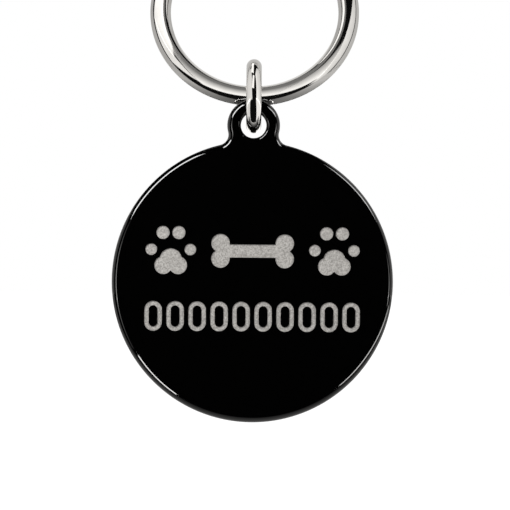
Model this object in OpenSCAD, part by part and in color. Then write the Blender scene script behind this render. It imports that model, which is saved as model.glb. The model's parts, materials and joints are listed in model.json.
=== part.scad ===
// Round pet tag with an ear, hanging by a jump ring from a wire split ring.
// Millimetres, +Z up, the engraved face looks along -Y. The origin is the centre of the
// split ring's opening. The tag hangs straight and the split ring's top leans back.

/* [Tag plate] */
// Diameter of the round plate
tag_d = 32; // [26:0.5:40]
// Thickness of the plate
tag_t = 1.5; // [1.3:0.1:2]
// Radius of the rounding round the plate's edge
edge_round = 0.7; // [0.3:0.05:0.8]
// Diameter of the ear above the plate
ear_d = 6; // [5.7:0.1:7]
// Height of the ear's centre above the plate's round edge
ear_rise = 1.8; // [1.4:0.1:2.4]
// Radius of the hollow corner between ear and plate
neck_fillet = 1.2; // [0.8:0.1:1.8]
// Diameter of the hole in the ear
hole_d = 2.9; // [2.6:0.1:3.2]
// Radius of the rounding on the hole's rims
hole_round = 0.4; // [0.25:0.05:0.45]

/* [Engraving] */
// Depth of the engraved figures
engrave_depth = 0.1; // [0.05:0.05:0.3]
// Height of the upper row of figures
motif_h = 6; // [4:0.5:7]
// Length of the bone in the middle of the upper row
bone_l = 9.4; // [7:0.2:11]
// Width of the bone's shaft
bone_shaft = 1.5; // [1:0.1:2]
// Diameter of each of the bone's four knuckles
bone_knuckle = 2.1; // [1.6:0.1:2.4]
// Clear space between figures of the upper row
motif_gap = 1.6; // [1:0.1:2.4]
// Height of the upper row's middle above the plate's centre
motif_z = 3.5; // [2.5:0.1:5]
// Number of ovals in the lower row
oval_count = 10; // [4:1:11]
// Height of an oval
oval_h = 3.4; // [2:0.1:4]
// Width of an oval
oval_w = 2; // [1.4:0.1:2.1]
// Width of the line that draws an oval
oval_line = 0.5; // [0.3:0.05:0.6]
// Distance from one oval to the next
oval_pitch = 2.5; // [2.2:0.05:2.6]
// Depth of the lower row's middle below the plate's centre
oval_drop = 3.95; // [3:0.1:6]

/* [Jump ring] */
// Thickness of the jump ring's round wire
jump_wire = 1.75; // [1.4:0.05:2.1]
// Spare room across the jump ring, round the links that it holds
jump_play = 0.26; // [0.15:0.01:0.6]

/* [Split ring] */
// Outer diameter of the split ring
split_od = 24; // [20:0.5:32]
// Width of the split ring's wire, across the ring
split_wire_w = 2.35; // [1.8:0.05:2.6]
// Thickness of one coil of the wire, along the ring's axis
split_wire_t = 0.7; // [0.5:0.05:0.9]
// Space between the two coils
coil_gap = 0.42; // [0.41:0.01:0.6]
// Angle by which the split ring's top leans back
lean = 25; // [0:1:40]

/* [Clearance] */
// Clearance between links that hang in each other
link_gap = 0.11; // [0.08:0.01:0.2]

/* [Hidden] */

// How far cuts run past what they cut
overrun = 1;

// Half the distance between a bone's two knuckles, as a share of a knuckle's diameter
knuckle_spread_share = 0.42;
// The wire's round outer side takes this share of its thickness, its flat side the rest
dome_share = 0.8;
// How round the wire's section is: 1 is an ellipse, and less gives a flatter face
round_share = 0.8;
// The rounding leaves this much of the plate's edge straight
edge_land = 0.1;
edge_r = min(edge_round, (tag_t - edge_land) / 2);
// Half the angle over which the wire steps from the front coil to the back coil
step_half = 15;
// Segments along each coil, along the step, and points round the wire
coil_segments = 44;
step_segments = 10;
wire_sides = 12;

// Middle radii of the two rings
split_r = (split_od - split_wire_w) / 2;
coil_z = (coil_gap + split_wire_t) / 2;

// Points of the wire's section, as [outwards, forwards] from the ring's middle circle.
// layer is 1 on the front coil, -1 on the back coil and passes through 0 on the step.
function dome(layer, side) = split_wire_t * (0.5 + side * layer * (dome_share - 0.5));
function fuller(x) = sign(x) * pow(abs(x), round_share);
function section_point(layer, turn) =
    let (front = dome(layer, 1), back = dome(layer, -1))
    let (widest = layer * coil_z + (back - front) / 2)
    [split_wire_w / 2 * fuller(cos(turn)), widest + (turn <= 180 ? front : back) * fuller(sin(turn))];
function section(layer) =
    [for (i = [0 : wire_sides - 1]) section_point(layer, 360 * i / wire_sides)];

// Farthest that the wire reaches from the middle of its two coils, taken on a fine section
reach_steps = 180;
wire_reach = max([for (i = [0 : reach_steps]) norm(section_point(1, 180 * i / reach_steps))]);

// The jump ring goes round the ear's wall on one side and the split ring's wire on the other
ear_wall = (ear_d - hole_d) / 2;
jump_id = norm([tag_t, ear_wall]) + 2 * wire_reach + jump_play;
jump_r = (jump_id + jump_wire) / 2;

// Places in the upright plane through the ear, as [back, up] from the hole's centre.
// The jump ring's wire passes the hole's centre, and the split ring's wire lies level with
// the jump ring's centre, just clear of the back of the ear.
ear_edge = [tag_t / 2 - edge_r, ear_d / 2 - edge_r];
ear_clear = wire_reach + edge_r + link_gap;
split_back = ear_edge[0] + sqrt(max(0, ear_clear ^ 2 - (jump_r - ear_edge[1]) ^ 2));
jump_back = split_back - (jump_id / 2 - wire_reach - link_gap);

// The hole's centre in the part's own frame, below the split ring's lowest wire
hole_y = -split_r * sin(lean) - split_back;
hole_z = -split_r * cos(lean) - jump_r;
plate_drop = tag_d / 2 + ear_rise;

// A ring of points along the wire for each angle from the bottom, front coil first. The wire
// starts just past the top, goes round the front, steps back at the top and goes round again.
coil_angle = (360 - 2 * step_half) / coil_segments;
step_angle = 2 * step_half / step_segments;
step_start = 180 - step_half;
step_end = 180 + step_half;
front_angles = [for (i = [0 : coil_segments - 1]) step_half - 180 + i * coil_angle];
step_angles = [for (i = [0 : step_segments - 1]) step_start + i * step_angle];
back_angles = [for (i = [0 : coil_segments]) step_end + i * coil_angle];
wire_angles = concat(front_angles, step_angles, back_angles);
function layer_at(angle) =
    angle <= step_start ? 1 : angle >= step_end ? -1 : cos(180 * (angle - step_start) / (2 * step_half));
function place(p, angle) = [(split_r + p[0]) * sin(angle), -p[1], -(split_r + p[0]) * cos(angle)];
function wire_ring(angle) = [for (p = section(layer_at(angle))) place(p, angle)];
wire_rings = [for (a = wire_angles) wire_ring(a)];

// Least gap of the wire to itself, over all pairs of its points more than a quarter turn apart
function ring_gap(a, b) = min([for (p = a, q = b) norm(p - q)]);
last_ring = len(wire_angles) - 1;
wire_gap = min([for (i = [0 : last_ring], j = [i : last_ring])
    if (wire_angles[j] - wire_angles[i] > 90 && norm(wire_rings[i][0] - wire_rings[j][0]) < split_wire_w)
        ring_gap(wire_rings[i], wire_rings[j])]);
echo("least gap of the split ring's wire to itself, mm", wire_gap);
echo("jump ring's swing axis, mm", [0, -split_r * sin(lean), -split_r * cos(lean)]);
echo("plate's swing axis, mm", [0, hole_y, hole_z]);

// Half section of a round plate with a rounded edge, its axis upright
module rounded_disc_section(r) {
    translate([0, -tag_t / 2 + edge_r]) square([r, tag_t - 2 * edge_r]);
    translate([0, -tag_t / 2]) square([r - edge_r, tag_t]);
    for (side = [-1, 1])
        translate([r - edge_r, side * (tag_t / 2 - edge_r)]) circle(edge_r, $fn = 48);
}

module rounded_disc(r) {
    rotate([90, 0, 0]) rotate_extrude($fn = 180) rounded_disc_section(r);
}

// A round cutter that flares out at both faces of the plate
module flared_cutter(r, flare) {
    rotate([90, 0, 0]) rotate_extrude($fn = 120) {
        translate([0, -tag_t / 2 - overrun]) square([r, tag_t + 2 * overrun]);
        for (side = [0, 1])
            mirror([0, side]) difference() {
                translate([0, tag_t / 2 - flare]) square([r + flare, flare + overrun]);
                translate([r + flare, tag_t / 2 - flare]) circle(flare, $fn = 48);
            }
    }
}

// Centre of the hollow corner on the right, from the hole's centre
ear_reach = ear_d / 2 + neck_fillet;
plate_reach = tag_d / 2 + neck_fillet;
corner_z = (plate_reach ^ 2 - ear_reach ^ 2 - plate_drop ^ 2) / (2 * plate_drop);
corner_x = sqrt(ear_reach ^ 2 - corner_z ^ 2);

module neck() {
    difference() {
        rotate([90, 0, 0]) linear_extrude(tag_t, center = true)
            polygon([[0, 0], [corner_x, corner_z], [0, -plate_drop], [-corner_x, corner_z]]);
        for (side = [-1, 1])
            translate([side * corner_x, 0, corner_z]) flared_cutter(neck_fillet, edge_r);
    }
}

// Shares of a paw's height: each round is [right, up, radius], from the paw's middle
pad_shares = [[0, -0.17, 0.21], [-0.14, -0.28, 0.17], [0.14, -0.28, 0.17]];
toe_shares = [[-0.37, 0.02, 0.11], [-0.15, 0.34, 0.125], [0.15, 0.34, 0.125], [0.37, 0.02, 0.11]];

module rounds(shares, size) {
    for (s = shares)
        translate([s[0], s[1]] * size) circle(s[2] * size, $fn = 48);
}

// The heel pad is three rounds filled in between, the toes are four separate rounds
module paw(size) {
    rounds(concat(pad_shares, toe_shares), size);
    polygon([for (s = pad_shares) [s[0], s[1]] * size]);
}

module bone() {
    knuckle_x = (bone_l - bone_knuckle) / 2;
    knuckle_z = bone_knuckle * knuckle_spread_share;
    square([2 * knuckle_x, bone_shaft], center = true);
    for (x = [-1, 1], z = [-1, 1])
        translate([x * knuckle_x, z * knuckle_z]) circle(d = bone_knuckle, $fn = 48);
}

module oval(w, h) {
    square([w, h - w], center = true);
    for (side = [-1, 1])
        translate([0, side * (h - w) / 2]) circle(d = w, $fn = 48);
}

module oval_outline() {
    difference() {
        oval(oval_w, oval_h);
        oval(oval_w - 2 * oval_line, oval_h - 2 * oval_line);
    }
}

// Both rows, from the plate's centre: paw, bone, paw over a row of plain ovals
module engraving() {
    translate([0, motif_z]) {
        bone();
        for (side = [-1, 1])
            translate([side * (bone_l / 2 + motif_gap + motif_h / 2), 0]) paw(motif_h);
    }
    for (i = [0 : oval_count - 1])
        translate([(i - (oval_count - 1) / 2) * oval_pitch, -oval_drop]) oval_outline();
}

module tag_plate() {
    color([0.02, 0.02, 0.02]) translate([0, hole_y, hole_z]) difference() {
        union() {
            rounded_disc(ear_d / 2);
            translate([0, 0, -plate_drop]) rounded_disc(tag_d / 2);
            neck();
        }
        flared_cutter(hole_d / 2, hole_round);
        translate([0, engrave_depth - tag_t / 2, -plate_drop])
            rotate([90, 0, 0]) linear_extrude(engrave_depth + overrun) engraving();
    }
}

// The jump ring stands in the upright plane, square to the plate
module jump_ring() {
    color([0.78, 0.77, 0.75]) translate([0, hole_y + jump_back, hole_z + jump_r])
        rotate([0, 90, 0]) rotate_extrude($fn = 120)
            translate([jump_r, 0]) circle(d = jump_wire, $fn = 60);
}

// One wire wound twice round: its sides join ring to ring, and a fan closes each free end
module split_ring() {
    side_faces = [for (i = [0 : last_ring - 1], j = [0 : wire_sides - 1])
        let (k = (j + 1) % wire_sides, a = i * wire_sides, b = a + wire_sides)
        each [[a + j, a + k, b + k], [a + j, b + k, b + j]]];
    first_end = [for (j = [1 : wire_sides - 2]) [0, j + 1, j]];
    last_start = last_ring * wire_sides;
    last_end = [for (j = [1 : wire_sides - 2]) [last_start, last_start + j, last_start + j + 1]];
    color([0.78, 0.77, 0.75]) rotate([-lean, 0, 0])
        polyhedron([for (r = wire_rings) each r], concat(side_faces, first_end, last_end));
}

tag_plate();
jump_ring();
split_ring();
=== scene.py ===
import json
import math
import bmesh
import bpy
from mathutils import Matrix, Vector


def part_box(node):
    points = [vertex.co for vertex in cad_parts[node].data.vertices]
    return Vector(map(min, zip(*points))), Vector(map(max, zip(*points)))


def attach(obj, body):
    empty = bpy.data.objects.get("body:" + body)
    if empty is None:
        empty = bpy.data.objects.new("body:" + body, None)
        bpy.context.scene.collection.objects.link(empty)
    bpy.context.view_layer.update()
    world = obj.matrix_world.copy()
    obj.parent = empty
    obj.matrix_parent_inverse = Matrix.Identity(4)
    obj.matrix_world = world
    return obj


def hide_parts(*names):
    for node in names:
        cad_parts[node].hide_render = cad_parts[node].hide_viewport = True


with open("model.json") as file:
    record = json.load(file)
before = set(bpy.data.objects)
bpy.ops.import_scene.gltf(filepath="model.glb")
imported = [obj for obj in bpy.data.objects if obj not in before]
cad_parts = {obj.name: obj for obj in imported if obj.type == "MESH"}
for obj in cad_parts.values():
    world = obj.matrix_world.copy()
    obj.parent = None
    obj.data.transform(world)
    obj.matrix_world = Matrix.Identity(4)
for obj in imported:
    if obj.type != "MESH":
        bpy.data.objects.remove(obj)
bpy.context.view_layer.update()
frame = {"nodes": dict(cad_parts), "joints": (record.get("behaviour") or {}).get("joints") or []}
mm = 0.001
nearly = 0.001 * mm                        # two points closer than this are one
facingFront = (math.pi / 2, 0, 0)          # turns the top of a new primitive to the camera
hinges = {joint["name"]: Vector(joint["pos_m"]) for joint in frame["joints"]}
holeCentre = hinges["tag_swing"]           # the plate hangs by the middle of its hole
wireBottom = hinges["jump_ring_swing"]     # middle of the split ring's lowest wire
print("frame loaded:", sorted(frame["nodes"]))


# Small tools, each a step that is done by hand in the window

def deselectAll():
    if bpy.context.mode != "OBJECT":
        bpy.ops.object.mode_set(mode="OBJECT")
    bpy.ops.object.select_all(action="DESELECT")


def pick(piece):
    deselectAll()
    piece.select_set(True)
    bpy.context.view_layer.objects.active = piece


def openForEditing(piece, kind="VERT"):
    pick(piece)
    bpy.ops.object.mode_set(mode="EDIT")
    bpy.ops.mesh.select_mode(type=kind)
    bpy.ops.mesh.select_all(action="DESELECT")


def selectWhere(piece, kind, test):
    mesh = bmesh.from_edit_mesh(piece.data)
    for part in getattr(mesh, kind):
        if test(part):
            part.select_set(True)
    bmesh.update_edit_mesh(piece.data)


def turnFacesOut():
    bpy.ops.mesh.select_all(action="SELECT")
    bpy.ops.mesh.normals_make_consistent(inside=False)


def nameLast(name):
    piece = bpy.context.object
    piece.name = name
    piece.data.name = name
    return piece


def addCylinder(name, centre, radius, depth, sides):
    deselectAll()
    bpy.ops.mesh.primitive_cylinder_add(
        vertices=sides, radius=radius, depth=depth, location=centre, rotation=facingFront)
    return nameLast(name)


def addBox(name, centre, size):
    deselectAll()
    bpy.ops.mesh.primitive_cube_add(size=1, location=centre)
    bpy.context.object.dimensions = size
    return nameLast(name)


def applyPlace(piece):
    pick(piece)
    bpy.ops.object.transform_apply(location=True, rotation=True, scale=True)


def addPoint(name, place):
    # a small plane merged to one point, left open and selected for the first spin
    deselectAll()
    bpy.ops.mesh.primitive_plane_add(size=mm, location=place)
    point = nameLast(name)
    applyPlace(point)
    openForEditing(point)
    bpy.ops.mesh.select_all(action="SELECT")
    bpy.ops.mesh.merge(type="CENTER")
    bpy.ops.mesh.select_all(action="SELECT")
    return point


def joinPieces(pieces, name):
    deselectAll()
    for piece in pieces:
        piece.select_set(True)
    bpy.context.view_layer.objects.active = pieces[0]
    bpy.ops.object.join()
    return nameLast(name)


def cut(piece, cutter, operation="DIFFERENCE", overlapping=False):
    pick(piece)
    step = piece.modifiers.new("cut", "BOOLEAN")
    step.operation = operation
    step.solver = "EXACT"
    step.use_self = overlapping
    step.object = cutter
    bpy.ops.object.modifier_apply(modifier=step.name)
    bpy.data.objects.remove(cutter)


def smooth(piece, degrees):
    pick(piece)
    bpy.ops.object.shade_smooth_by_angle(angle=math.radians(degrees))


def keepFacesFlat(piece):
    # the shading of a round then starts only where the large face beside it ends
    pick(piece)
    step = piece.modifiers.new("flatFaces", "WEIGHTED_NORMAL")
    step.weight = 100
    step.keep_sharp = True
    bpy.ops.object.modifier_apply(modifier=step.name)


# Black coated plate

plateLow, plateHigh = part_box("tag_plate")
plate = {
    "radius": (plateHigh.x - plateLow.x) / 2,
    "thickness": plateHigh.y - plateLow.y,
    "earRadius": plateHigh.z - holeCentre.z,
    "cornerRadius": 1.2 * mm,   # hollow, where the ear meets the disc
    "discSteps": 240,
    "earSteps": 72,
    "cornerSteps": 16,
    "edgeRound": 0.7 * mm,
    "edgeSteps": 14,
    "holeRadius": 1.45 * mm,
    "holeSides": 96,
    "holeRound": 0.4 * mm,
    "holeSteps": 8,
    "engravingDepth": 0.1 * mm,
    "smoothAngle": 40,
}
plateCentre = Vector((0, holeCentre.y, plateLow.z + plate["radius"]))
plateFront = holeCentre.y - plate["thickness"] / 2
plateBack = holeCentre.y + plate["thickness"] / 2


def spinArc(centre, degrees, steps):
    bpy.ops.mesh.spin(steps=steps, angle=math.radians(degrees), center=centre, axis=(0, 1, 0))


def angleOf(point, centre):
    return math.degrees(math.atan2(point.x - centre.x, point.z - centre.z))


def drawPlateOutline():
    # a hollow corner's centre lies one corner radius outside both the ear and the disc
    earReach = plate["earRadius"] + plate["cornerRadius"]
    plateReach = plate["radius"] + plate["cornerRadius"]
    drop = holeCentre.z - plateCentre.z
    rise = (plateReach ** 2 - earReach ** 2 - drop ** 2) / (2 * drop)
    aside = math.sqrt(earReach ** 2 - rise ** 2)
    ear = Vector((0, plateFront, holeCentre.z))
    disc = Vector((0, plateFront, plateCentre.z))
    right = Vector((aside, plateFront, holeCentre.z + rise))
    left = Vector((-aside, plateFront, holeCentre.z + rise))
    onDisc = disc + (right - disc) * plate["radius"] / plateReach
    onEar = ear + (right - ear) * plate["earRadius"] / earReach

    # clockwise from the right corner: the disc, the left corner, the ear and the right corner
    outline = addPoint("tagCoat", onDisc)
    discTurn = 360 - 2 * angleOf(onDisc, disc)
    cornerTurn = angleOf(onEar, ear) - angleOf(onDisc, disc)
    earTurn = 2 * angleOf(onEar, ear)
    spinArc(disc, -discTurn, plate["discSteps"])
    spinArc(left, cornerTurn, plate["cornerSteps"])
    spinArc(ear, -earTurn, plate["earSteps"])
    spinArc(right, cornerTurn, plate["cornerSteps"])
    bpy.ops.mesh.select_all(action="SELECT")
    bpy.ops.mesh.remove_doubles(threshold=nearly)
    bpy.ops.mesh.select_all(action="SELECT")
    bpy.ops.mesh.edge_face_add()
    return outline


def roundRims(piece, radius, steps, within=math.inf):
    # rounds every edge on either face that lies within this distance of the hole's centre
    def onRim(edge, face):
        return all(abs(end.co.y - face) < nearly
                   and math.hypot(end.co.x, end.co.z - holeCentre.z) < within for end in edge.verts)

    openForEditing(piece, "EDGE")
    selectWhere(piece, "edges", lambda edge: onRim(edge, plateFront) or onRim(edge, plateBack))
    bpy.ops.mesh.bevel(offset=radius, segments=steps, affect="EDGES", clamp_overlap=False)
    deselectAll()


def makePlate():
    coat = drawPlateOutline()
    bpy.ops.mesh.extrude_region_move(TRANSFORM_OT_translate={"value": (0, plate["thickness"], 0)})
    turnFacesOut()
    roundRims(coat, plate["edgeRound"], plate["edgeSteps"])
    drillLength = 4 * plate["thickness"]
    cut(coat, addCylinder("drill", holeCentre, plate["holeRadius"], drillLength, plate["holeSides"]))
    roundRims(coat, plate["holeRound"], plate["holeSteps"], within=plate["holeRadius"] + 10 * nearly)
    return coat


# Engraved figures: paw, bone and paw over a row of plain ovals

figures = {
    "upperRow": 3.5 * mm,       # above the plate's centre
    "pawHeight": 6 * mm,
    "boneLength": 9.4 * mm,
    "boneShaft": 1.5 * mm,
    "boneKnuckle": 2.1 * mm,
    "knuckleSpread": 0.42,
    "gap": 1.6 * mm,
    "lowerRow": -3.95 * mm,
    "ovalCount": 10,
    "ovalPitch": 2.5 * mm,
    "ovalWidth": 2 * mm,
    "ovalHeight": 3.4 * mm,
    "ovalLine": 0.5 * mm,
    "roundSides": 48,
    # shares of the paw's height: right, up, radius. The heel's pads are the top, left and right one.
    "heel": [(0, -0.17, 0.21), (-0.14, -0.28, 0.17), (0.14, -0.28, 0.17)],
    "toes": [(-0.37, 0.02, 0.11), (-0.15, 0.34, 0.125), (0.15, 0.34, 0.125), (0.37, 0.02, 0.11)],
    "reach": 1 * mm,            # how far the raw figures stand before and behind the face
    "inlayRise": 0.012 * mm,    # the bare metal stands this far above the recess floor
    "inlayRoot": 0.05 * mm,     # and reaches this far below it
}


def onFace(right, up):
    return plateCentre + Vector((right, plateFront - plateCentre.y, up))


def fillHeel(top, left, right):
    # a three-sided prism between the middles of the heel's pads
    filler = addCylinder("padMiddle", (0, 0, 0), 1 * mm, 2 * figures["reach"], 3)
    applyPlace(filler)
    openForEditing(filler)
    mesh = bmesh.from_edit_mesh(filler.data)
    for vert in mesh.verts:
        corner = top
        if vert.co.x < -nearly:
            corner = left
        if vert.co.x > nearly:
            corner = right
        vert.co.x, vert.co.z = corner.x, corner.z
        vert.co.y += corner.y
    bmesh.update_edit_mesh(filler.data)
    turnFacesOut()
    deselectAll()
    return filler


def addPaw(aside):
    size = figures["pawHeight"]
    centres = []
    parts = []
    for right, up, radius in figures["heel"] + figures["toes"]:
        centres.append(onFace(aside + right * size, figures["upperRow"] + up * size))
        parts.append(addCylinder(
            "pad", centres[-1], radius * size, 2 * figures["reach"], figures["roundSides"]))
    return parts + [fillHeel(*centres[:3])]


def addBone():
    reach = (figures["boneLength"] - figures["boneKnuckle"]) / 2
    spread = figures["boneKnuckle"] * figures["knuckleSpread"]
    depth = 2 * figures["reach"]
    parts = [addBox("shaft", onFace(0, figures["upperRow"]), (2 * reach, depth, figures["boneShaft"]))]
    for side in (-1, 1):
        for level in (-1, 1):
            centre = onFace(side * reach, figures["upperRow"] + level * spread)
            parts.append(addCylinder(
                "knuckle", centre, figures["boneKnuckle"] / 2, depth, figures["roundSides"]))
    return parts


def addOval():
    centre = onFace(0, figures["lowerRow"]) - Vector((0, figures["reach"], 0))
    half = (figures["ovalHeight"] - figures["ovalWidth"]) / 2
    deselectAll()
    bpy.ops.mesh.primitive_circle_add(
        vertices=figures["roundSides"], radius=figures["ovalWidth"] / 2, fill_type="NGON",
        location=centre, rotation=facingFront)
    oval = nameLast("oval")
    applyPlace(oval)
    openForEditing(oval)
    for side in (-1, 1):
        bpy.ops.mesh.select_all(action="DESELECT")
        selectWhere(oval, "verts", lambda vert: side * (vert.co.z - centre.z) > nearly)
        bpy.ops.transform.translate(value=(0, 0, side * half))
    bpy.ops.mesh.select_mode(type="FACE")
    bpy.ops.mesh.select_all(action="SELECT")
    bpy.ops.mesh.inset(thickness=figures["ovalLine"], depth=0)
    bpy.ops.mesh.delete(type="FACE")
    bpy.ops.mesh.select_all(action="SELECT")
    bpy.ops.mesh.extrude_region_move(TRANSFORM_OT_translate={"value": (0, 2 * figures["reach"], 0)})
    turnFacesOut()
    deselectAll()
    return oval


def addOvalRow():
    first = addOval()
    row = [first]
    while len(row) < figures["ovalCount"]:
        pick(first)
        bpy.ops.object.duplicate()
        row.append(nameLast("oval"))
    for place, oval in enumerate(row):
        oval.location.x = (place - (figures["ovalCount"] - 1) / 2) * figures["ovalPitch"]
        applyPlace(oval)
    return row


def drawFigures():
    aside = figures["boneLength"] / 2 + figures["gap"] + figures["pawHeight"] / 2
    parts = addBone() + addPaw(-aside) + addPaw(aside) + addOvalRow()
    for part in parts:
        applyPlace(part)
    return joinPieces(parts, "rawFigures")


def sliceFigures(name, low, high):
    # what of the raw figures lies between two depths, overlaps merged
    size = 2 * plate["radius"]
    middle = Vector((0, (low + high) / 2, plateCentre.z))
    sliced = addBox(name, middle, (size, high - low, size))
    applyPlace(sliced)
    cut(sliced, drawFigures(), "INTERSECT", overlapping=True)
    return sliced


def engrave(coat):
    depth = plateFront + plate["engravingDepth"]
    cut(coat, sliceFigures("recess", plateFront - figures["reach"] / 2, depth))
    return sliceFigures("engraving", depth - figures["inlayRise"], depth + figures["inlayRoot"])


tagCoat = makePlate()
engraving = engrave(tagCoat)
smooth(tagCoat, plate["smoothAngle"])
keepFacesFlat(tagCoat)
print("plate:", len(tagCoat.data.polygons), "faces, engraving:", len(engraving.data.polygons))


# Jump ring, a closed ring of round wire with a hairline joint at the back

jumpLow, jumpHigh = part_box("jump_ring")
jump = {
    "wire": jumpHigh.x - jumpLow.x,
    "outer": jumpHigh.z - jumpLow.z,
    "turnSteps": 256,
    "wireSteps": 64,
    "jointStep": 28,            # steps above the back
    "jointWidth": 0.05 * mm,
    "jointShrink": 0.96,        # share of the wire's thickness that is left at the joint
    "smoothAngle": 60,
}


def makeJumpRing():
    centre = (jumpLow + jumpHigh) / 2
    radius = (jump["outer"] - jump["wire"]) / 2
    deselectAll()
    bpy.ops.mesh.primitive_torus_add(
        major_segments=jump["turnSteps"], minor_segments=jump["wireSteps"],
        major_radius=radius, minor_radius=jump["wire"] / 2,
        location=centre, rotation=(0, math.pi / 2, 0))
    ring = nameLast("jumpRing")
    applyPlace(ring)
    cutJoint(ring, centre, radius)
    smooth(ring, jump["smoothAngle"])
    return ring


def cutJoint(ring, centre, radius):
    up = 2 * math.pi * jump["jointStep"] / jump["turnSteps"]
    outwards = Vector((0, math.cos(up), math.sin(up)))
    along = Vector((0, -math.sin(up), math.cos(up)))

    def atJoint(vert):
        place = vert.co - centre
        return abs(place.dot(along)) < jump["jointWidth"] / 5 and place.dot(outwards) > 0

    # the ring of edges at the joint becomes three, and the middle one is drawn in
    openForEditing(ring, "EDGE")
    selectWhere(ring, "edges", lambda edge: all(atJoint(end) for end in edge.verts))
    bpy.ops.mesh.bevel(offset=jump["jointWidth"] / 2, segments=2, affect="EDGES")
    bpy.ops.mesh.select_mode(type="VERT")
    bpy.ops.mesh.select_all(action="DESELECT")
    selectWhere(ring, "verts", atJoint)
    shrink = jump["jointShrink"]
    bpy.ops.transform.resize(value=(shrink, shrink, shrink), center_override=centre + outwards * radius)
    deselectAll()


jumpRing = makeJumpRing()
print("jump ring:", len(jumpRing.data.polygons), "faces")


# Split ring, one wire wound twice round

split = {
    "radius": wireBottom.length,
    "lean": math.atan2(-wireBottom.y, -wireBottom.z),
    "wireWidth": 2.33 * mm,
    "gap": 0.06 * mm,           # between the two coils
    # the wire's section as arcs from its outer edge over the front to its inner edge: radius in
    # millimetres, and the way that the surface faces at the arc's start and end, 0 being forwards
    "arcs": [(0.03, 180, 90), (0.095, 90, 56), (2.25, 56, 41), (1.25, 41, 28), (1.95, 28, -3),
             (0.42, -3, -45), (2.2, -45, -62), (0.43, -62, -90), (0.03, -90, -180)],
    "arcStep": 3,               # degrees
    "stepHalf": 15,             # degrees either side of the top
    "coilSteps": 264,
    "stepCuts": 20,
    "stepSmooth": 0.78,
    "endRound": 0.07 * mm,
    "endSteps": 3,
    "smoothAngle": 50,
}


def sectionFacing(degrees):
    return Vector((0, -math.cos(math.radians(degrees)), -math.sin(math.radians(degrees))))


def drawWireSection():
    # one point at the foot of the outer edge, spun from arc to arc
    lowest = -split["radius"] - split["wireWidth"] / 2
    point = Vector((0, -split["gap"] / 2, lowest + split["arcs"][0][0] * mm))
    wire = addPoint("splitRing", point)
    for radius, start, end in split["arcs"]:
        centre = point - sectionFacing(start) * radius * mm
        steps = max(2, round((start - end) / split["arcStep"]))
        bpy.ops.mesh.spin(steps=steps, angle=math.radians(start - end), center=centre, axis=(1, 0, 0))
        point = centre + sectionFacing(end) * radius * mm
    # a face closes the outline, and then only its edges are kept
    bpy.ops.mesh.select_all(action="SELECT")
    bpy.ops.mesh.edge_face_add()
    bpy.ops.mesh.delete(type="ONLY_FACE")
    return wire


def windCoils():
    turn = math.radians(180 - split["stepHalf"])
    bpy.ops.mesh.select_all(action="SELECT")
    bpy.ops.transform.rotate(value=turn, orient_axis="Y", center_override=(0, 0, 0))
    bpy.ops.mesh.spin(steps=split["coilSteps"], angle=-2 * turn, center=(0, 0, 0), axis=(0, 1, 0))
    # the back coil is the front one mirrored
    bpy.ops.mesh.select_all(action="SELECT")
    bpy.ops.mesh.duplicate()
    bpy.ops.transform.resize(value=(1, -1, 1), center_override=(0, 0, 0))
    turnFacesOut()


def stepAcross(wire):
    # at the top the wire crosses from the front coil's right end to the back coil's left one
    bpy.ops.mesh.select_mode(type="EDGE")
    bpy.ops.mesh.select_all(action="DESELECT")
    selectWhere(wire, "edges", lambda edge: edge.is_boundary and all(
        end.co.x * end.co.y < 0 for end in edge.verts))
    bpy.ops.mesh.bridge_edge_loops(type="SINGLE", number_cuts=split["stepCuts"],
                                   interpolation="SURFACE", smoothness=split["stepSmooth"])


def closeEnds(wire):
    bpy.ops.mesh.select_all(action="DESELECT")
    selectWhere(wire, "edges", lambda edge: edge.is_boundary)
    bpy.ops.mesh.edge_face_add()
    bpy.ops.mesh.select_mode(type="FACE")
    bpy.ops.mesh.select_all(action="DESELECT")
    selectWhere(wire, "faces", lambda face: len(face.verts) > 4)
    bpy.ops.mesh.bevel(offset=split["endRound"], segments=split["endSteps"], affect="EDGES")
    turnFacesOut()
    deselectAll()


def makeSplitRing():
    wire = drawWireSection()
    windCoils()
    stepAcross(wire)
    closeEnds(wire)
    wire.rotation_euler.x = -split["lean"]
    applyPlace(wire)
    smooth(wire, split["smoothAngle"])
    return wire


splitRing = makeSplitRing()
print("split ring:", len(splitRing.data.polygons), "faces")


# Finishes

def newFinish(name):
    material = bpy.data.materials.new(name)
    material.use_nodes = True
    return material, material.node_tree.nodes["Principled BSDF"]


def node(material, kind, inputs=None, **settings):
    made = material.node_tree.nodes.new("ShaderNode" + kind)
    for name, value in settings.items():
        setattr(made, name, value)
    for name, value in (inputs or {}).items():
        plug(material, made.inputs[name], value)
    return made


def plug(material, socket, value):
    if isinstance(value, bpy.types.NodeSocket):
        material.node_tree.links.new(value, socket)
    else:
        socket.default_value = value


def grain(material, size, detail=2.0, roughness=0.5):
    place = node(material, "TexCoord").outputs["Object"]
    noise = node(material, "TexNoise", {
        "Vector": place, "Scale": 1 / size, "Detail": detail, "Roughness": roughness})
    return noise.outputs["Fac"]


def between(material, factor, low, high, start=0.3, end=0.7):
    spread = node(material, "MapRange", {
        "Value": factor, "From Min": start, "From Max": end, "To Min": low, "To Max": high})
    return spread.outputs["Result"]


def tint(material, factor, dark, light, start=0.3, end=0.7):
    ramp = node(material, "ValToRGB", {"Fac": factor})
    first, last = ramp.color_ramp.elements
    first.position = start
    first.color = (*dark, 1)
    last.position = end
    last.color = (*light, 1)
    return ramp.outputs["Color"]


def bump(material, height, depth, normal=None):
    inputs = {"Height": height, "Distance": depth, "Strength": 1.0}
    if normal:
        inputs["Normal"] = normal
    return node(material, "Bump", inputs).outputs["Normal"]


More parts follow.
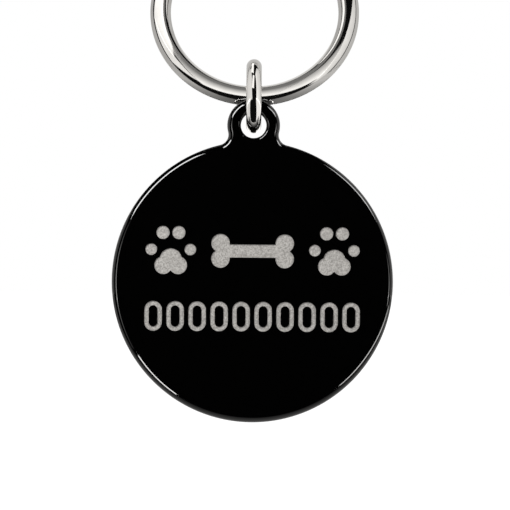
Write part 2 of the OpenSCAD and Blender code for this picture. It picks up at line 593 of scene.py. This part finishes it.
coatFinish = {
    "dark": (0.0001, 0.0001, 0.0001),
    "light": (0.0004, 0.0004, 0.0004),
    "gloss": (0.03, 0.05),
    "rippleSize": 1.6 * mm,
    "rippleDepth": 0.0012 * mm,
    "speckSize": 0.12 * mm,
    "speckDetail": 4,
    "speckDepth": 0.0003 * mm,
    "ior": 1.5,
}


def makeCoatFinish():
    material, shader = newFinish("glossyBlackCoat")
    ripple = grain(material, coatFinish["rippleSize"])
    speck = grain(material, coatFinish["speckSize"], coatFinish["speckDetail"])
    colour = tint(material, speck, coatFinish["dark"], coatFinish["light"])
    plug(material, shader.inputs["Base Color"], colour)
    plug(material, shader.inputs["Roughness"], between(material, ripple, *coatFinish["gloss"]))
    shader.inputs["IOR"].default_value = coatFinish["ior"]
    waves = bump(material, ripple, coatFinish["rippleDepth"])
    plug(material, shader.inputs["Normal"], bump(material, speck, coatFinish["speckDepth"], waves))
    return material


engravedFinish = {
    "dark": (0.2, 0.19, 0.178),
    "light": (0.462, 0.445, 0.419),
    "tintStart": 0.35,
    "tintEnd": 0.65,
    "grainSize": 0.14 * mm,
    "grainDetail": 3,
    "grainRoughness": 0.7,
    "grainDepth": 0.012 * mm,
    "metallic": 0.3,
    "roughness": (0.42, 0.6),
}


def makeEngravedFinish():
    material, shader = newFinish("blastedMetal")
    speck = grain(material, engravedFinish["grainSize"], engravedFinish["grainDetail"],
                  engravedFinish["grainRoughness"])
    colour = tint(material, speck, engravedFinish["dark"], engravedFinish["light"],
                  engravedFinish["tintStart"], engravedFinish["tintEnd"])
    plug(material, shader.inputs["Base Color"], colour)
    plug(material, shader.inputs["Roughness"], between(material, speck, *engravedFinish["roughness"]))
    shader.inputs["Metallic"].default_value = engravedFinish["metallic"]
    plug(material, shader.inputs["Normal"], bump(material, speck, engravedFinish["grainDepth"]))
    return material


chromeFinish = {
    "dark": (0.74, 0.73, 0.71),
    "light": (0.82, 0.81, 0.79),
    "cloudSize": 1.5 * mm,
    "scratchSize": 0.08 * mm,
    "scratchDepth": 0.00006 * mm,
    "detail": 3,
    "gloss": (0.05, 0.085),
}


def makeChromeFinish():
    material, shader = newFinish("polishedChrome")
    cloud = grain(material, chromeFinish["cloudSize"], chromeFinish["detail"])
    scratch = grain(material, chromeFinish["scratchSize"], chromeFinish["detail"])
    colour = tint(material, cloud, chromeFinish["dark"], chromeFinish["light"])
    plug(material, shader.inputs["Base Color"], colour)
    plug(material, shader.inputs["Roughness"], between(material, cloud, *chromeFinish["gloss"]))
    shader.inputs["Metallic"].default_value = 1.0
    plug(material, shader.inputs["Normal"], bump(material, scratch, chromeFinish["scratchDepth"]))
    return material


def dress(piece, material, body, slot, *nodes):
    piece.data.materials.clear()
    piece.data.materials.append(material)
    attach(piece, body)
    if nodes:
        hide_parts(*nodes)


chrome = makeChromeFinish()
dress(tagCoat, makeCoatFinish(), "tag_plate", "black_coat", "tag_plate")
dress(engraving, makeEngravedFinish(), "tag_plate", "engraved_metal")
dress(jumpRing, chrome, "jump_ring", "ring_chrome", "jump_ring")
dress(splitRing, chrome, "split_ring", "ring_chrome", "split_ring")
print("finishes on")


# Studio: pale floor, white surroundings, two soft lamps, and a tent with the cards that metal shows

studio = {
    "floorLevel": -60 * mm,
    "floorSize": 8.0,
    "floorColour": 0.8,
    "floorRoughness": 0.9,
    "floorWhite": 0.45,         # glow that only the camera and reflections see
    "worldPlain": 0.8,          # the world's strength for all but the camera and reflections
    "centre": Vector((0, -5 * mm, -16 * mm)),
    "lampDistance": 0.2,
    "cardDistance": 0.33,
    # floor cards of different pieces lie at different heights, because two in one place hide each other
    "cardHeights": {"split": 1.0 * mm, "jump": 1.4 * mm, "plate": 1.8 * mm},
    "cardTint": (1.0, 0.985, 0.965),
    "tentHalf": 0.42,
    "tentHigh": 0.42,
    "tentLift": 0.5 * mm,       # above the floor
    "tentColour": 0.006,
}


def lightPath(material, *rays):
    path = node(material, "LightPath")
    total = path.outputs[rays[0]]
    for ray in rays[1:]:
        total = node(material, "Math", {0: total, 1: path.outputs[ray]}, operation="MAXIMUM").outputs[0]
    return total


def makeWorld():
    world = bpy.data.worlds.new("whiteStudio")
    world.use_nodes = True
    bpy.context.scene.world = world
    tree = world.node_tree
    background = tree.nodes["Background"]
    background.inputs["Color"].default_value = (1, 1, 1, 1)
    seen = lightPath(world, "Is Camera Ray", "Is Glossy Ray", "Is Transmission Ray")
    level = node(world, "MapRange", {"Value": seen, "To Min": studio["worldPlain"], "To Max": 1.0})
    tree.links.new(level.outputs["Result"], background.inputs["Strength"])


def makeFloor():
    deselectAll()
    bpy.ops.mesh.primitive_plane_add(size=studio["floorSize"], location=(0, 0, studio["floorLevel"]))
    floor = nameLast("floor")
    applyPlace(floor)
    material, shader = newFinish("paleFloor")
    shader.inputs["Base Color"].default_value = (*[studio["floorColour"]] * 3, 1)
    shader.inputs["Roughness"].default_value = studio["floorRoughness"]
    shader.inputs["Specular IOR Level"].default_value = 0.0
    seen = lightPath(material, "Is Camera Ray", "Is Glossy Ray", "Is Transmission Ray")
    level = node(material, "Math", {0: seen, 1: studio["floorWhite"]}, operation="MULTIPLY").outputs[0]
    shader.inputs["Emission Color"].default_value = (1, 1, 1, 1)
    plug(material, shader.inputs["Emission Strength"], level)
    floor.data.materials.append(material)


def towards(azimuth, elevation):
    around = math.radians(azimuth)
    up = math.radians(elevation)
    return Vector((math.sin(around) * math.cos(up), -math.cos(around) * math.cos(up), math.sin(up)))


# A black tent keeps the room out of the reflections, and the cards inside it are what the metal
# shows. All cards are see-through, and only the pieces that a card is for show its glow.
# A card's corners are azimuth and elevation from the studio's centre, with the camera at 0, 0:
# low left, low right, high right, high left. Its brightness goes from the first level to the
# second, across it or up it, and fade is the share of its size where that starts and ends.
cards = {
    "frontLow": {"corners": [(-29, 5), (10, 5), (12, 70), (-26, 70)], "levels": (1.2, 0.21),
                 "along": "up", "fade": (0.15, 0.63), "shownTo": "split"},
    "frontRight": {"corners": [(10, 5), (40, 5), (40, 38), (11, 44)], "levels": (1.2, 0.42),
                   "along": "up", "fade": (0.25, 1.0), "shownTo": "split"},
    "leftLow": {"corners": [(-64, 2), (-29, 11), (-31, 29), (-88, 28)], "levels": (1.0, 1.0),
                "shownTo": "split"},
    "leftHigh": {"corners": [(-90, 27), (-38, 28), (-9, 52), (-108, 66)], "levels": (1.1, 1.3),
                 "along": "up", "fade": (0.0, 0.4), "shownTo": "split"},
    "leftGrey": {"corners": [(-150, -9), (-60, -9), (-114, 34), (-150, 60)], "levels": (0.45, 0.5),
                 "shownTo": "split"},
    "rightBright": {"corners": [(38, -9), (58, -9), (110, 36), (40, 42)], "levels": (1.0, 0.7),
                    "shownTo": "split"},
    "rightGrey": {"corners": [(63, -9), (150, -9), (150, 60), (117, 36)], "levels": (0.6, 0.45),
                  "shownTo": "split"},
    "jumpLeft": {"corners": [(-118, -9), (-24, -9), (-44, 50), (-118, 60)], "levels": (0.75, 0.95),
                 "shownTo": "jump"},
    "jumpOval": {"corners": [(-32, 24), (0, 24), (8, 66), (-36, 66)], "levels": (1.3, 1.3),
                 "shownTo": "jump"},
    "jumpTop": {"corners": [(-86, 60), (-18, 73), (-176, 60), (-162, 51)], "levels": (1.3, 1.3),
                "shownTo": "jump"},
    "jumpRight": {"corners": [(38, -9), (118, -9), (118, 66), (40, 66)], "levels": (1.25, 0.75),
                  "shownTo": "jump"},
    "plateLeft": {"corners": [(-150, -9), (-75, -9), (-75, 20), (-150, 20)], "levels": (0.8, 0.8),
                  "shownTo": "plate"},
    "plateRight": {"corners": [(72, -9), (150, -9), (150, 45), (72, 45)], "levels": (0.9, 0.9),
                   "shownTo": "plate"},
    "top": {"corners": [(-45, 68), (45, 68), (135, 68), (225, 68)], "levels": (0.25, 0.15),
            "shownTo": "split"},
    "jumpBack": {"corners": [(118, -9), (242, -9), (242, 45), (118, 45)], "levels": (0.62, 0.55),
                 "along": "up", "shownTo": "jump"},
    "plateBack": {"corners": [(150, -9), (210, -9), (210, 60), (150, 60)], "levels": (0.12, 0.1),
                  "along": "up", "shownTo": "plate"},
    "backGrey": {"corners": [(150, -9), (210, -9), (210, 66), (150, 66)], "levels": (0.8, 0.7),
                 "along": "up", "shownTo": "split"},
    "plateLeftLine": {"corners": [(-40, -9), (-30, -9), (-30, 12), (-40, 12)], "levels": (7, 1),
                      "along": "up", "fade": (0.25, 0.85), "shownTo": "plate"},
    "plateRightLine": {"corners": [(42, -9), (52, -9), (52, 6), (42, 6)], "levels": (5.5, 1),
                       "along": "up", "fade": (0.3, 0.95), "shownTo": "plate"},
}

# cards on the floor: corners in metres right of and behind the origin, near ones first
floorCards = {
    "splitFloorLeft": {
        "corners": [(-0.275, -0.16), (-0.13, -0.11), (-0.155, 0.27), (-0.165, 0.27)],
        "levels": (0.5, 0.5), "shownTo": "split"},
    "splitFloorNearLeft": {
        "corners": [(-0.13, -0.11), (0, -0.07), (0, 0.27), (-0.155, 0.27)],
        "levels": (0.55, 0.06), "shownTo": "split"},
    "splitFloorNearRight": {
        "corners": [(0, -0.07), (0.13, -0.13), (0.155, 0.27), (0, 0.27)],
        "levels": (0.09, 0.62), "shownTo": "split"},
    "splitFloorRight": {
        "corners": [(0.13, -0.13), (0.225, -0.225), (0.28, -0.15), (0.155, 0.27)],
        "levels": (0.6, 0.6), "shownTo": "split"},
    "jumpFloorLeft": {
        "corners": [(-0.38, -0.28), (-0.025, 0), (-0.012, 0.3), (-0.38, 0.3)],
        "levels": (0.85, 0.85), "shownTo": "jump"},
    "jumpFloorRight": {
        "corners": [(0.02, 0), (0.25, -0.4), (0.4, 0.3), (0.012, 0.3)],
        "levels": (1.05, 1.05), "shownTo": "jump"},
    "plateFloor": {
        "corners": [(-0.3, -0.034), (0.3, -0.034), (0.3, 0.03), (-0.3, 0.03)],
        "levels": (0, 0.9), "along": "up", "fade": (0, 0.47), "shownTo": "plate"},
    "plateFloorBack": {
        "corners": [(-0.3, 0.03), (0.3, 0.03), (0.3, 0.3), (-0.3, 0.3)],
        "levels": (0.9, 0.12), "along": "up", "fade": (0, 0.33), "shownTo": "plate"},
    "lowerLeftGlow": {
        "corners": [(-0.041, -0.145), (-0.018, -0.08), (-0.018, -0.036), (-0.041, -0.062)],
        "levels": (22, 22), "shownTo": "plate"},
    "lowerRightGlow": {
        "corners": [(0.023, -0.105), (0.05, -0.069), (0.05, -0.045), (0.023, -0.05)],
        "levels": (12, 14), "shownTo": "plate"},
    "farRightGlow": {
        "corners": [(0.05, -0.069), (0.164, -0.044), (0.163, 0.004), (0.05, -0.045)],
        "levels": (12, 5), "shownTo": "plate"},
    "leftLineFloor": {
        "corners": [(-0.205, -0.345), (-0.047, -0.079), (-0.047, -0.056), (-0.205, -0.234)],
        "levels": (6, 0.8), "shownTo": "plate"},
    "rightLineFloor": {
        "corners": [(0.16, -0.165), (0.3, -0.33), (0.3, -0.24), (0.16, -0.12)],
        "levels": (5.5, 5.5), "shownTo": "plate"},
}


def makeGroups(pieces):
    groups = {}
    for name, members in pieces.items():
        groups[name] = bpy.data.collections.new(name + "Lighting")
        for piece in members:
            groups[name].objects.link(piece)
    return groups


groups = makeGroups({"split": [splitRing], "jump": [jumpRing], "plate": [tagCoat],
                     "tag": [tagCoat, engraving]})


def reflectOnly(card):
    card.visible_camera = False
    card.visible_diffuse = False
    card.visible_shadow = False


def addTent():
    width = 2 * studio["tentHalf"]
    high = studio["tentHigh"]
    low = studio["floorLevel"] + studio["tentLift"]
    tent = addBox("blackTent", (0, 0, (high + low) / 2), (width, width, high - low))
    applyPlace(tent)
    material, shader = newFinish("blackCloth")
    shader.inputs["Base Color"].default_value = (*[studio["tentColour"]] * 3, 1)
    shader.inputs["Roughness"].default_value = 1.0
    shader.inputs["Specular IOR Level"].default_value = 0.0
    tent.data.materials.append(material)
    reflectOnly(tent)


def finishCard(card, levels, fade, along):
    material = bpy.data.materials.new(card.name)
    material.use_nodes = True
    place = node(material, "SeparateXYZ", {"Vector": node(material, "TexCoord").outputs["UV"]})
    share = place.outputs["X" if along == "across" else "Y"]
    level = between(material, share, *levels, *fade)
    glow = node(material, "Emission", {"Color": (*studio["cardTint"], 1), "Strength": level})
    clear = node(material, "BsdfTransparent")
    both = node(material, "AddShader", {0: glow.outputs["Emission"], 1: clear.outputs["BSDF"]})
    plug(material, material.node_tree.nodes["Material Output"].inputs["Surface"], both.outputs["Shader"])
    card.data.materials.append(material)
    reflectOnly(card)


def addCard(name, places, levels, shownTo, fade=(0.0, 1.0), along="across"):
    deselectAll()
    bpy.ops.mesh.primitive_plane_add(size=1, location=(0, 0, 0))
    card = nameLast(name)
    openForEditing(card)
    mesh = bmesh.from_edit_mesh(card.data)
    # the new plane's corners, by whether each lies right of and above its middle
    order = {(False, False): 0, (True, False): 1, (True, True): 2, (False, True): 3}
    for vert in mesh.verts:
        vert.co = places[order[vert.co.x > 0, vert.co.y > 0]]
    bmesh.update_edit_mesh(card.data)
    deselectAll()
    finishCard(card, levels, fade, along)
    card.light_linking.receiver_collection = groups[shownTo]


# angles in degrees from the plate's centre, sizes in metres
lamps = {
    "upperLeftStrip": {"azimuth": -41, "elevation": 36, "wide": 0.11, "high": 0.065,
                       "brightness": 22, "roll": -55},
    "upperRightStrip": {"azimuth": 60, "elevation": 38, "wide": 0.10, "high": 0.05,
                        "brightness": 12, "roll": 35},
}


def addLamp(name, azimuth, elevation, wide, high, brightness, roll):
    aim = towards(azimuth, elevation)
    place = plateCentre + aim * studio["lampDistance"]
    turn = aim.to_track_quat("Z", "Y").to_euler()
    deselectAll()
    bpy.ops.object.light_add(type="AREA", location=place, rotation=turn)
    lamp = bpy.context.object
    lamp.name = name
    pick(lamp)
    bpy.ops.transform.rotate(value=math.radians(roll), orient_axis="Z", orient_type="LOCAL",
                             center_override=place)
    lamp.data.shape = "RECTANGLE"
    lamp.data.size = wide
    lamp.data.size_y = high
    lamp.data.energy = brightness * math.pi * wide * high
    lamp.visible_camera = False
    lamp.light_linking.receiver_collection = groups["tag"]


camera = {
    "lens": 400,
    "sensor": 36,
    "frameWidth": 57.97 * mm,   # at the plate
    "aside": 0.28 * mm,         # right of the origin
    "level": -27.9 * mm,        # above the origin
    "roll": -0.5,               # degrees
    "nearest": 0.01,
    "farthest": 50,
}


def addCamera():
    distance = camera["frameWidth"] * camera["lens"] / camera["sensor"]
    deselectAll()
    bpy.ops.object.camera_add(
        location=(camera["aside"], plateFront - distance, camera["level"]),
        rotation=(math.pi / 2, math.radians(camera["roll"]), 0))
    made = bpy.context.object
    made.data.lens = camera["lens"]
    made.data.sensor_width = camera["sensor"]
    made.data.clip_start = camera["nearest"]
    made.data.clip_end = camera["farthest"]
    bpy.context.scene.camera = made


makeWorld()
makeFloor()
addTent()
for name, values in cards.items():
    places = [studio["centre"] + towards(*corner) * studio["cardDistance"]
              for corner in values.pop("corners")]
    addCard(name, places, **values)
for name, values in floorCards.items():
    level = studio["floorLevel"] + studio["cardHeights"][values["shownTo"]]
    places = [(right, behind, level) for right, behind in values.pop("corners")]
    addCard(name, places, **values)
for name, values in lamps.items():
    addLamp(name, **values)
addCamera()
bpy.context.scene.view_settings.view_transform = "Standard"
print("studio ready")
